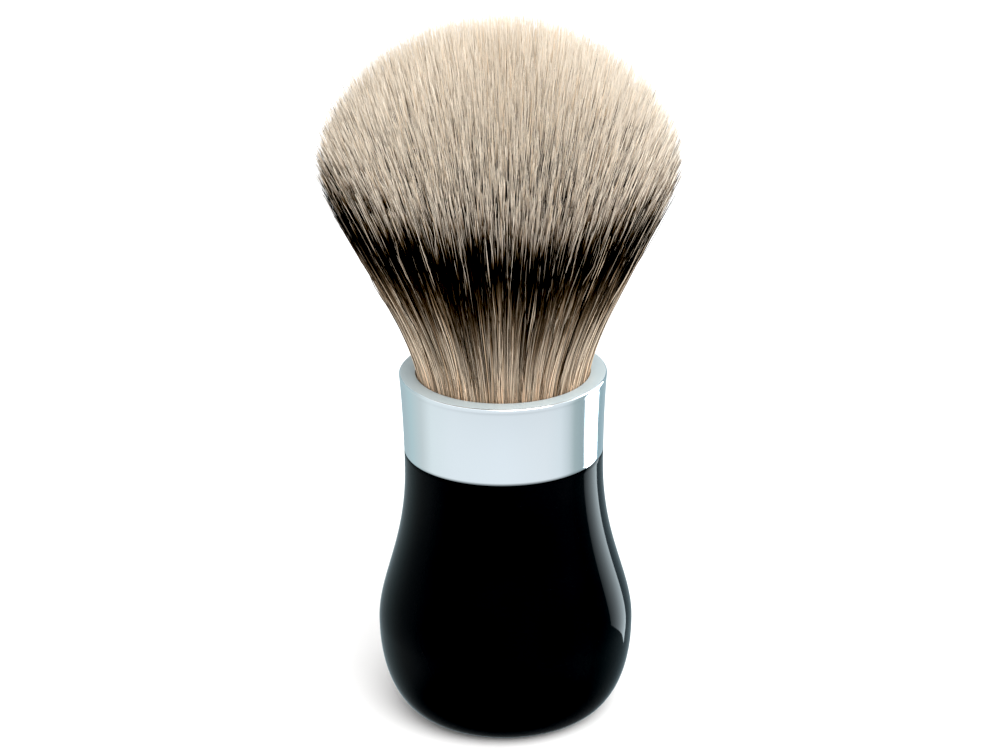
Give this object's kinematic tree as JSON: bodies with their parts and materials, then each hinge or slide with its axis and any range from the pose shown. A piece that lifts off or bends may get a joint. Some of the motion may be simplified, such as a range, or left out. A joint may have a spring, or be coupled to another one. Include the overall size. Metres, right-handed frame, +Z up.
{
  "type": "shaving brush",
  "caption": "Shaving brush: round glossy handle with a waist, plated metal collar and a domed hair knot that flexes in two directions.",
  "frame": {"origin": "centre of the flat base that the brush stands on", "axes": "+Z up along the handle's axis to the hair tips; the brush is round about it, and -Y is the side that faces the viewer"},
  "size_m": [0.0496, 0.0496, 0.1023],
  "materials": {
    "black_resin": "black cast resin, polished to a deep gloss",
    "cap_plastic": "black moulded plastic, satin",
    "plain_steel": "turned steel, oiled",
    "screw_steel": "stainless steel",
    "plated_metal": "bright chrome plate on turned brass",
    "seal_rubber": "black nitrile rubber",
    "cup_aluminium": "drawn aluminium, dull",
    "knot_resin": "cured amber epoxy",
    "binding_twine": "waxed linen twine",
    "hair": "badger-type hair: cream tips, a black band, beige to brown below"
  },
  "bodies": {
    "handle": {"handle_body": "black_resin", "base_cap": "cap_plastic", "counterweight": "plain_steel", "tie_screw": "screw_steel", "lock_washer": "screw_steel", "collar": "plated_metal", "collar_seal": "seal_rubber", "knot_cup": "cup_aluminium", "knot_plug": "knot_resin", "knot_binding": "binding_twine", "hair_root": "hair"},
    "neck": {"hair_neck": "hair"},
    "head": {"hair_head": "hair"}
  },
  "joints": [
    {"name": "hair_nod", "type": "hinge", "parent": "handle", "child": "neck", "pos_m": [0, 0, 0.057], "axis": [1, 0, 0], "range_deg": [-25, 25], "stiffness_Nm_per_rad": 0.15},
    {"name": "hair_sway", "type": "hinge", "parent": "neck", "child": "head", "pos_m": [0, 0, 0.065], "axis": [0, 1, 0], "range_deg": [-25, 25], "stiffness_Nm_per_rad": 0.15}
  ]
}
